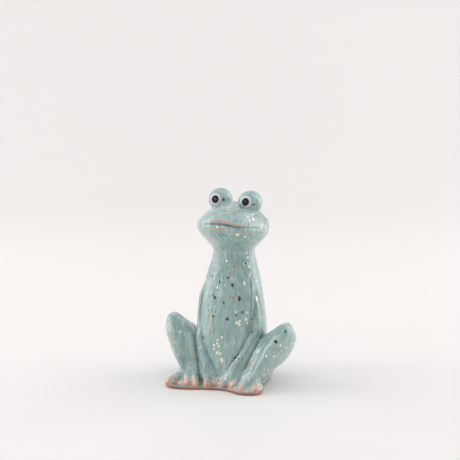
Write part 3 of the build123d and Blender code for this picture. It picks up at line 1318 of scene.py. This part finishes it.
    def split(self, points: Array, quads: Array) -> tuple[Array, Array]:
        """Divides each face into four.

        Args:
            points: The net's places.
            quads: Its faces.

        Returns:
            The finer net's places and faces.
        """
        ends = np.sort(np.stack([quads, np.roll(quads, -1, axis=1)], axis=-1), axis=-1).reshape(-1, 2)
        edges, where = np.unique(ends, axis=0, return_inverse=True)
        mid = where.reshape(-1, 4) + len(points)
        centre = np.arange(len(quads)) + len(points) + len(edges)
        finer = [(quads[:, turn], mid[:, turn], centre, mid[:, turn - 1]) for turn in range(4)]
        finer = np.vstack([np.column_stack(quarter) for quarter in finer])
        return np.vstack([points, points[edges].mean(axis=1), points[quads].mean(axis=1)]), finer

    def facing(self, points: Array) -> Array:
        """The way the skin faces at each place, taken from the faces round it.

        Args:
            points: The skin's places.

        Returns:
            One direction for each place.
        """
        corners = points[self.quads]
        flat = np.cross(corners[:, 2] - corners[:, 0], corners[:, 3] - corners[:, 1])
        total = summed(self.quads.ravel(), np.repeat(flat, 4, axis=0), len(points))
        return total / np.maximum(np.linalg.norm(total, axis=1), 1e-12)[:, None]

    def press(self, rise: Array) -> None:
        """Raises the skin by millimetres along the way it faces, or sinks it."""
        self.points = self.points + self.normals * rise[:, None]
        self.normals = self.facing(self.points)

    def brushed(self, seed: int) -> Array:
        """The strokes of the modelling brush, from -1 in a hollow to 1 on a ridge.

        Args:
            seed: The number of the pattern.

        Returns:
            A number for each place.
        """
        ways = np.array([casting.brush for casting in self.castings])
        ways /= np.linalg.norm(ways, axis=1)[:, None]
        way = summed(self.quads.ravel(), np.repeat(ways[self.owners], 4, axis=0), len(self.points))
        way /= np.maximum(np.linalg.norm(way, axis=1), 1e-6)[:, None]
        along = (self.points * way).sum(axis=1)
        bow = np.column_stack([grain(self.points, (14.0, 14.0, 22.0), seed + index) for index in range(3)])
        across = self.points - along[:, None] * way + 1.2 * bow
        total = np.zeros(len(self.points))
        for width, length, weight, offset in ((1.3, 7.0, 0.6, 11), (2.6, 13.0, 0.4, 12)):
            squeezed = across / width + (along / length)[:, None] * way
            total += weight * grain(squeezed, (1.0, 1.0, 1.0), seed + offset)
        return np.clip(1.6 * total, -1.0, 1.0)

    def cut(self, index: int, name: str) -> bpy.types.Object:
        """Cuts one casting out of the skin and closes it.

        Args:
            index: The casting's number.
            name: The new piece's name.

        Returns:
            The closed piece.
        """
        used, local = np.unique(self.quads[self.owners == index], return_inverse=True)
        faces = local.reshape(-1, 4)
        inner, like, lids = self.lids(self.points[used], self.normals[used], faces)
        piece = new_piece(name, np.vstack([self.points[used], inner]) * MM, faces.tolist() + lids)
        look = np.concatenate([used, used[like]])
        for trait, values in self.traits.items():
            layer = piece.data.attributes.new(trait, "FLOAT", "POINT")
            layer.data.foreach_set("value", values[look].astype(np.float32))
        piece.data.normals_split_custom_set_from_vertices(self.normals[look].tolist())
        return piece

    def lids(
        self, points: Array, normals: Array, faces: Array
    ) -> tuple[Array, list[int], list[tuple[int, ...]]]:
        """Closes the open borders of a casting with lids sunk inside the clay.

        Args:
            points: The casting's places.
            normals: The way it faces at each place.
            faces: Its four-sided faces.

        Returns:
            The lids' own places, the place of the skin that each one looks like, and the lids' faces.
        """
        starts, ends = faces.ravel(), np.roll(faces, -1, axis=1).ravel()
        sides = np.sort(np.column_stack([starts, ends]), axis=1)
        edges, where = np.unique(sides, axis=0, return_inverse=True)
        surplus = np.bincount(where.ravel(), np.where(starts < ends, 1, -1), len(edges)).astype(int)
        onward: dict[int, list[int]] = {}
        for number in np.nonzero(surplus)[0]:
            low, high = (int(end) for end in edges[number])
            here, there = (high, low) if surplus[number] > 0 else (low, high)
            onward.setdefault(here, []).extend([there] * abs(int(surplus[number])))
        inner, like, lids = [], [], []
        while onward:
            here = start = next(iter(onward))
            ring = []
            while not ring or here != start:
                ring.append(here)
                after = onward[here].pop()
                if not onward[here]:
                    del onward[here]
                here = after
            sunk = points[ring] - self.lid_depth * normals[ring]
            sunk[:, 2] = np.maximum(sunk[:, 2], self.sole)
            first = len(points) + len(inner)
            inner += [*sunk, sunk.mean(axis=0)]
            like += [*ring, start]
            for turn, here in enumerate(ring):
                after = (turn + 1) % len(ring)
                lids.append((here, ring[after], first + after, first + turn))
                lids.append((first + turn, first + after, first + len(ring)))
        return np.array(inner).reshape(-1, 3), like, lids


# Finishes


class Nodes:
    """A short way to lay out the nodes of one material."""

    def __init__(self, name: str) -> None:
        """Starts a material with its surface shader.

        Args:
            name: The material's name.
        """
        self.material = bpy.data.materials.new(name)
        self.material.use_nodes = True
        self.tree = self.material.node_tree
        self.shader = self.tree.nodes["Principled BSDF"]

    def feed(self, socket: Socket, value: object) -> None:
        """Links an output to a socket, or sets the socket's own value.

        Args:
            socket: The socket that is fed.
            value: Another node's output, or a plain value.
        """
        if isinstance(value, Socket):
            self.tree.links.new(value, socket)
        else:
            socket.default_value = value

    def add(self, kind: str, sockets: dict[int | str, object], **settings: str) -> bpy.types.Node:
        """Adds a node.

        Args:
            kind: The end of the name of the node's type.
            sockets: Values or other nodes' outputs, by the socket's number or name.
            **settings: The node's own settings.

        Returns:
            The new node.
        """
        node = self.tree.nodes.new(f"ShaderNode{kind}")
        for name, setting in settings.items():
            setattr(node, name, setting)
        for key, value in sockets.items():
            self.feed(node.inputs[key], value)
        return node

    def surface(self, **sockets: object) -> None:
        """Fills sockets of the surface shader, named with _ for a space."""
        for name, value in sockets.items():
            self.feed(self.shader.inputs[name.replace("_", " ")], value)

    def sum(self, operation: str, *numbers: object) -> Socket:
        """A sum, by its operation's name, on up to three numbers or outputs."""
        return self.add("Math", dict(enumerate(numbers)), operation=operation).outputs[0]

    def mix(self, share: object, first: object, second: object) -> Socket:
        """Blends two colours, with a share that says how much of the second shows."""
        return self.add("Mix", {0: share, 6: first, 7: second}, data_type="RGBA").outputs[2]

    def graded(self, value: object, low: float, high: float, start: float = 0.0, end: float = 1.0) -> Socket:
        """Maps values from low to high smoothly onto those from start to end."""
        sockets = dict(enumerate((value, low, high, start, end)))
        return self.add("MapRange", sockets, interpolation_type="SMOOTHSTEP").outputs[0]

    def noise(self, scale: Triple, detail: float = 2.0, roughness: float = 0.5) -> Socket:
        """Uneven noise from 0 to 1 with lumps stretched along the axes.

        Args:
            scale: How many lumps there are to a metre along each axis.
            detail: How many finer layers it has.
            roughness: How strong they are.

        Returns:
            The noise's output.
        """
        spot = self.add("TexCoord", {}).outputs["Object"]
        place = self.add("Mapping", {"Vector": spot, "Scale": scale}).outputs[0]
        sockets = {"Vector": place, "Scale": 1.0, "Detail": detail, "Roughness": roughness}
        return self.add("TexNoise", sockets).outputs[0]

    def painted(self, name: str) -> Socket:
        """A value that is painted on the skin."""
        return self.add("Attribute", {}, attribute_name=name).outputs["Fac"]

    def bump(self, strength: float, distance: float, height: object) -> None:
        """Roughens the surface finely, by a height in metres at a strength."""
        bump = self.add("Bump", {"Strength": strength, "Distance": distance, "Height": height})
        self.surface(Normal=bump.outputs[0])


@dataclass(frozen=True)
class Glaze:
    """A glossy pale sea-green glaze that pools in the brush strokes, is flecked with minerals and carries
    painted shade in its creases.
    """

    # The darkest teal: glaze pooling in creases, also used as painted shade in the mouth parting, the arm
    # lines, the joins and round the eye discs.
    pool_and_shade: Colour = (0.090, 0.140, 0.130, 1.0)
    deep: Colour = (0.234, 0.368, 0.342, 1.0)
    body: Colour = (0.326, 0.468, 0.438, 1.0)
    pale: Colour = (0.560, 0.680, 0.652, 1.0)
    clay: Colour = (0.620, 0.245, 0.165, 1.0)
    thin: Colour = (0.760, 0.470, 0.360, 1.0)
    cream: Colour = (0.960, 0.880, 0.720, 1.0)
    honey: Colour = (0.700, 0.480, 0.270, 1.0)
    umber: Colour = (0.060, 0.030, 0.018, 1.0)
    rust: Colour = (0.600, 0.270, 0.150, 1.0)
    roughness: float = 0.26
    coat: float = 0.9
    coat_roughness: float = 0.10
    body_tones: Pair = (0.36, 0.60)
    pale_tones: Pair = (0.56, 0.86)
    thin_wear: Pair = (0.95, 1.20)
    clay_wear: Pair = (1.20, 1.55)
    fleck_edge: Pair = (1.05, 0.65)

    def flecked(self, nodes: Nodes, colour: Socket) -> Socket:
        """Lays the flecks over a ground colour.

        Args:
            nodes: The material's nodes.
            colour: The colour under the flecks.

        Returns:
            The flecked colour.
        """
        ragged = nodes.noise((900.0, 900.0, 700.0))
        for name in ("honey", "cream", "rust", "umber"):
            gap = nodes.sum("ADD", nodes.painted(name), nodes.sum("MULTIPLY", ragged, 0.9))
            colour = nodes.mix(nodes.graded(gap, *self.fleck_edge), colour, getattr(self, name))
        return colour

    def material(self) -> bpy.types.Material:
        """The glaze as a procedural material.

        Returns:
            The material.
        """
        nodes = Nodes("sea_green_glaze")
        streaks = nodes.noise((780.0, 780.0, 120.0), 3.0, 0.6)
        clouds = nodes.noise((70.0, 70.0, 45.0), 3.0, 0.55)
        mottle = nodes.noise((1500.0, 1500.0, 900.0), 2.0, 0.6)
        wear = nodes.noise((520.0, 520.0, 260.0), 3.0, 0.6)
        tone = nodes.sum("MULTIPLY", clouds, 0.42)
        for layer, weight in ((streaks, 0.42), (mottle, 0.25), (nodes.painted("relief"), 0.15)):
            tone = nodes.sum("MULTIPLY_ADD", layer, weight, tone)
        colour = nodes.mix(nodes.graded(tone, *self.body_tones), self.deep, self.body)
        colour = nodes.mix(nodes.graded(tone, *self.pale_tones), colour, self.pale)
        # Painted shade: creases, joins and the mouth parting are darkened towards the pooling colour.
        colour = nodes.mix(nodes.sum("MULTIPLY", nodes.painted("pooled_and_shaded"), 0.85), colour, self.pool_and_shade)
        colour = self.flecked(nodes, colour)
        worn = nodes.sum("MULTIPLY_ADD", wear, 1.1, nodes.painted("bare"))
        colour = nodes.mix(nodes.graded(worn, *self.thin_wear), colour, self.thin)
        colour = nodes.mix(nodes.graded(worn, *self.clay_wear), colour, self.clay)
        sheen = nodes.noise((300.0, 300.0, 90.0))
        rough = nodes.graded(sheen, 0.3, 0.7, self.roughness - 0.06, self.roughness + 0.1)
        nodes.surface(Base_Color=colour, Roughness=rough, IOR=1.5)
        nodes.surface(Coat_Weight=self.coat, Coat_Roughness=self.coat_roughness, Coat_IOR=1.6)
        height = nodes.sum("MULTIPLY_ADD", streaks, 0.7, nodes.sum("MULTIPLY", mottle, 0.3))
        nodes.bump(0.5, 0.0006, height)
        return nodes.material


@dataclass(frozen=True)
class BareClay:
    """Fired red clay, bare underneath and washed with glaze on the upper edge."""

    clay: Colour = (0.560, 0.240, 0.165, 1.0)
    dark: Colour = (0.280, 0.105, 0.065, 1.0)
    glaze: Colour = (0.270, 0.390, 0.365, 1.0)
    roughness: float = 0.6
    glaze_roughness: float = 0.25

    def material(self) -> bpy.types.Material:
        """The clay as a procedural material.

        Returns:
            The material.
        """
        nodes = Nodes("bare_clay_and_glaze_edge")
        spot = nodes.add("TexCoord", {}).outputs["Object"]
        height = nodes.add("SeparateXYZ", {"Vector": spot}).outputs[2]
        grit = nodes.noise((420.0, 420.0, 420.0), 4.0, 0.6)
        wander = nodes.noise((60.0, 60.0, 20.0))
        level = nodes.sum("MULTIPLY_ADD", wander, -0.0028, nodes.sum("ADD", height, 0.0017))
        colour = nodes.mix(nodes.graded(grit, 0.3, 0.7), self.dark, self.clay)
        colour = nodes.mix(nodes.graded(level, 0.0022, 0.0030), colour, self.glaze)
        rough = nodes.graded(level, 0.0018, 0.0024, self.roughness, self.glaze_roughness)
        nodes.surface(Base_Color=colour, Roughness=rough)
        nodes.bump(0.5, 0.0005, grit)
        return nodes.material


@dataclass(frozen=True)
class Enamel:
    """A glossy spot of enamel with a faint unevenness from the brush."""

    name: str
    light: Colour
    dark: Colour
    roughness: float = 0.12

    def material(self) -> bpy.types.Material:
        """The enamel as a procedural material.

        Returns:
            The material.
        """
        nodes = Nodes(self.name)
        sweep = nodes.noise((350.0, 350.0, 350.0), 3.0)
        colour = nodes.mix(nodes.graded(sweep, 0.3, 0.7), self.dark, self.light)
        rough = nodes.graded(sweep, 0.2, 0.8, self.roughness, self.roughness + 0.08)
        nodes.surface(Base_Color=colour, Roughness=rough, IOR=1.5, Coat_Weight=0.05, Coat_Roughness=0.05)
        nodes.bump(0.25, 0.0002, sweep)
        return nodes.material


# The frog

FOOT_OUT = {Side.RIGHT: 34.1, Side.LEFT: 28.6}
HAND_OUT = {Side.RIGHT: 9.0, Side.LEFT: 13.0}
TOES = {
    Side.RIGHT: (
        ((37.0, -36.0, 11.0), (46.6, -49.0, 4.4), 4.2, 4.8),
        ((30.8, -37.5, 13.0), (29.4, -47.3, 4.0), 3.4, 3.8),
        ((25.8, -35.5, 14.5), (21.0, -46.3, 4.0), 3.3, 3.6),
    ),
    Side.LEFT: (
        ((35.9, -36.5, 11.5), (40.0, -43.5, 4.1), 3.6, 3.8),
        ((30.0, -37.0, 13.0), (25.8, -45.3, 4.1), 3.4, 3.9),
        ((24.5, -34.0, 15.0), (15.6, -41.8, 4.2), 3.4, 3.7),
    ),
}
FINGERS = {
    Side.RIGHT: (
        ((14.5, -33.5, 16.0), (9.6, -44.5, 4.0), 3.1, 3.6),
        ((7.5, -34.0, 13.5), (3.4, -39.5, 5.0), 2.9, 3.2),
    ),
    Side.LEFT: (
        ((14.0, -34.5, 15.5), (4.4, -40.8, 4.4), 3.1, 3.6),
        ((7.5, -34.3, 14.0), (0.4, -37.0, 6.0), 2.7, 2.9),
    ),
}
ARMS = {
    Side.RIGHT: (
        (21.5, -7.0, 100.0), (24.8, -7.8, 84.0), (24.6, -9.2, 68.3), (23.6, -13.6, 54.5),
        (22.6, -19.8, 42.6), (19.0, -25.4, 30.6), (14.6, -30.0, 20.0), (12.5, -33.0, 11.0),
    ),
    Side.LEFT: (
        (20.5, -7.0, 100.0), (23.4, -7.8, 84.0), (25.6, -9.2, 68.3), (27.2, -13.6, 54.5),
        (26.6, -20.0, 42.6), (22.6, -25.6, 30.6), (17.0, -30.6, 20.0), (13.5, -33.5, 11.0),
    ),
}  # fmt: skip


class Frog:
    """The whole figurine, put together from its sub-assemblies."""

    dimple_height: float = 0.20
    throat_dimples: float = 0.30
    swell_height: float = 0.30
    throat_height: float = 110.0

    def __init__(self, view: Viewpoint) -> None:
        """Sets out the sub-assemblies.

        Args:
            view: Where the photographer stands.
        """
        self.view = view
        self.torso = Torso()
        self.head = Head(self.torso)
        self.eyes = [Eye(self.head, side) for side in Side]
        self.legs = [HindLeg(side) for side in Side]
        self.arms = [Arm(side, path) for side, path in ARMS.items()]
        self.feet = [HindFoot(side, FOOT_OUT[side], toes) for side, toes in TOES.items()]
        self.hands = [Hand(side, HAND_OUT[side], fingers) for side, fingers in FINGERS.items()]
        self.base = Base()

    def castings(self) -> list[Casting]:
        """Every casting of the skin in the order they are luted together."""
        limbs = [*self.legs, *self.arms, *self.feet, *self.hands]
        return [part.casting() for part in (self.torso, self.head, *self.eyes, *limbs, self.base)]

    def model_skin(self) -> Skin:
        """Meshes the skin and works its surface: eye seats, lips, strokes, flecks, worn toes and painted
        shade in its creases.

        Returns:
            The worked skin.
        """
        skin = Skin(self.castings())
        points, traits = skin.points, skin.traits
        log.info("skin net has %d places and %d faces", len(points), len(skin.quads))
        lips, lip_clay, pooled_and_shaded = Mouth(self.view).press(points)
        lines, line_pool_and_shade = ArmLines(self.view).press(points)
        seats = sum(eye.sink(points) for eye in self.eyes)
        toe_clay = Toes([*self.feet, *self.hands]).clay(points, skin.normals)
        flecks = Flecks(self.view)
        for seed, kind in enumerate(("cream", "honey", "umber", "rust"), 40):
            traits[kind] = flecks.spread(points, getattr(flecks, kind), seed)
        traits["relief"] = skin.brushed(31)
        # The joins of the limbs and the ring round each eye disc are darkened: glaze pooling, with painted
        # shade in the creases.
        seams = np.maximum(0.4 * skin.seams, 0.7 * ramp(seats, 0.1, 0.5))
        traits["pooled_and_shaded"] = np.maximum.reduce([pooled_and_shaded, line_pool_and_shade, seams])
        traits["bare"] = np.maximum(lip_clay, toe_clay)
        throat = bell(points[:, 2] - self.throat_height, 11.0) * ramp(points[:, 0], 10.0, -4.0)
        dimples = (self.dimple_height + self.throat_dimples * throat) * traits["relief"]
        swell = self.swell_height * grain(points, (17.0, 17.0, 22.0), 5)
        rise = dimples * (1.0 - 0.8 * lip_clay) + swell
        skin.press(rise * (1.0 - 0.85 * ramp(seats, 0.0, 0.3)) + lips + lines - seats)
        return skin

    def build(self, glaze: Glaze, clay: BareClay, white: Enamel, black: Enamel) -> None:
        """Makes, dresses and reports every piece.

        Args:
            glaze: The finish of the skin.
            clay: The finish of the slab.
            white: The finish of the eye discs.
            black: The finish of the pupils.
        """
        skin, coat = self.model_skin(), glaze.material()
        for index, casting in enumerate(skin.castings[:-1]):
            dress(skin.cut(index, f"glazed_{casting.node}"), casting.node, coat)
        enamels = white.material(), black.material()
        for eye in self.eyes:
            eye.build(*enamels)
        self.base.dress(clay.material())


# The studio


@dataclass(frozen=True)
class Lamp:
    """A soft lamp, placed in metres right of, behind and above the frog as photographed."""

    name: str
    place: Triple
    aim_height: float
    size: Pair
    power: float


@dataclass
class Studio:
    """A pale table and wall in soft daylight, with the camera."""

    view: Viewpoint
    floor_colour: Colour = (0.84, 0.82, 0.81, 1.0)
    seen_colour: Colour = (0.830, 0.804, 0.778, 1.0)
    sky_colour: Colour = (0.95, 0.96, 1.0, 1.0)
    sky_strength: float = 0.49
    half_width: float = 3.0
    front: float = 2.0
    depth: float = 1.6
    rise: float = 2.4
    sweep: float = 0.6
    lamps: Sequence[Lamp] = (
        Lamp("window", (-1.4, 0.35, 0.9), 0.1, (1.4, 1.8), 13.0),
        Lamp("window_pane", (-1.25, -0.1, 0.95), 0.1, (0.20, 0.30), 1.2),
        Lamp("far_side", (1.4, 0.35, 0.8), 0.1, (1.6, 1.8), 16.0),
        Lamp("ceiling", (-0.2, -0.35, 2.0), 0.0, (2.4, 2.4), 12.0),
        Lamp("spark", (-1.05, -0.85, 0.50), 0.15, (0.10, 0.10), 0.8),
    )

    def add_floor(self) -> None:
        """Lays a pale table that sweeps up into the wall behind."""
        profile = [(-self.front, 0.0)]
        for angle in np.linspace(0.0, math.pi / 2, 13):
            reach = self.depth - self.sweep * (1 - math.sin(angle))
            profile.append((reach, self.sweep * (1 - math.cos(angle))))
        profile.append((self.depth, self.rise))
        places = np.array([(x, y, z) for y, z in profile for x in (-self.half_width, self.half_width)])
        faces = [(2 * i, 2 * i + 1, 2 * i + 3, 2 * i + 2) for i in range(len(profile) - 1)]
        table = new_piece("pale_table", places, faces)
        table.rotation_euler = (0.0, 0.0, math.radians(self.view.azimuth))
        nodes = Nodes("pale_table")
        rays = nodes.add("LightPath", {}).outputs
        looked = nodes.sum("MAXIMUM", rays["Is Camera Ray"], rays["Is Glossy Ray"])
        looked = nodes.sum("MAXIMUM", looked, rays["Is Transmission Ray"])
        nodes.surface(Base_Color=nodes.mix(looked, self.floor_colour, self.seen_colour), Roughness=0.6)
        table.data.materials.append(nodes.material)

    def add_lamp(self, lamp: Lamp) -> None:
        """Hangs a lamp and turns it to the frog.

        Args:
            lamp: The lamp.
        """
        light = bpy.data.lights.new(lamp.name, "AREA")
        light.shape = "RECTANGLE"
        light.size, light.size_y = lamp.size
        light.energy = lamp.power
        holder = bpy.data.objects.new(lamp.name, light)
        spot = turn_matrix(self.view.azimuth, 0, 1) @ lamp.place
        ahead = np.array([0.0, 0.0, lamp.aim_height]) - spot
        ahead /= np.linalg.norm(ahead)
        holder.location = spot
        turn = math.atan2(ahead[1], ahead[0]) - math.pi / 2
        holder.rotation_euler = (math.acos(-ahead[2]), 0.0, turn)
        bpy.context.scene.collection.objects.link(holder)

    def add_world(self) -> None:
        """Fills the room with soft light."""
        world = bpy.data.worlds.new("soft_daylight")
        bpy.context.scene.world = world
        world.use_nodes = True
        sky = world.node_tree.nodes["Background"].inputs
        sky["Color"].default_value = self.sky_colour
        sky["Strength"].default_value = self.sky_strength

    def add_camera(self) -> None:
        """Sets up the camera where the photographer stood."""
        lens = bpy.data.cameras.new("camera")
        lens.sensor_width = 36.0
        lens.lens = lens.sensor_width * self.view.distance / self.view.frame_width
        lens.dof.use_dof = False
        camera = bpy.data.objects.new("camera", lens)
        camera.location = self.view.place() * MM
        turn, drop = math.radians(self.view.azimuth), math.radians(self.view.pitch)
        camera.rotation_euler = (math.pi / 2 - drop, 0.0, turn)
        bpy.context.scene.collection.objects.link(camera)
        bpy.context.scene.camera = camera

    def build(self) -> None:
        """Sets up the whole studio."""
        self.add_floor()
        self.add_world()
        for lamp in self.lamps:
            self.add_lamp(lamp)
        self.add_camera()
        bpy.context.scene.view_settings.view_transform = "Standard"


def main() -> None:
    """Builds the frog and the studio."""
    logging.basicConfig(level=logging.INFO, format="%(name)s: %(message)s")
    view = Viewpoint()
    frog = Frog(view)
    white = Enamel("white_enamel", (0.72, 0.76, 0.79, 1.0), (0.62, 0.67, 0.71, 1.0))
    black = Enamel("black_enamel", (0.012, 0.010, 0.012, 1.0), (0.007, 0.006, 0.007, 1.0), 0.08)
    frog.build(Glaze(), BareClay(), white, black)
    Studio(view).build()


if __name__ == "__main__":
    main()
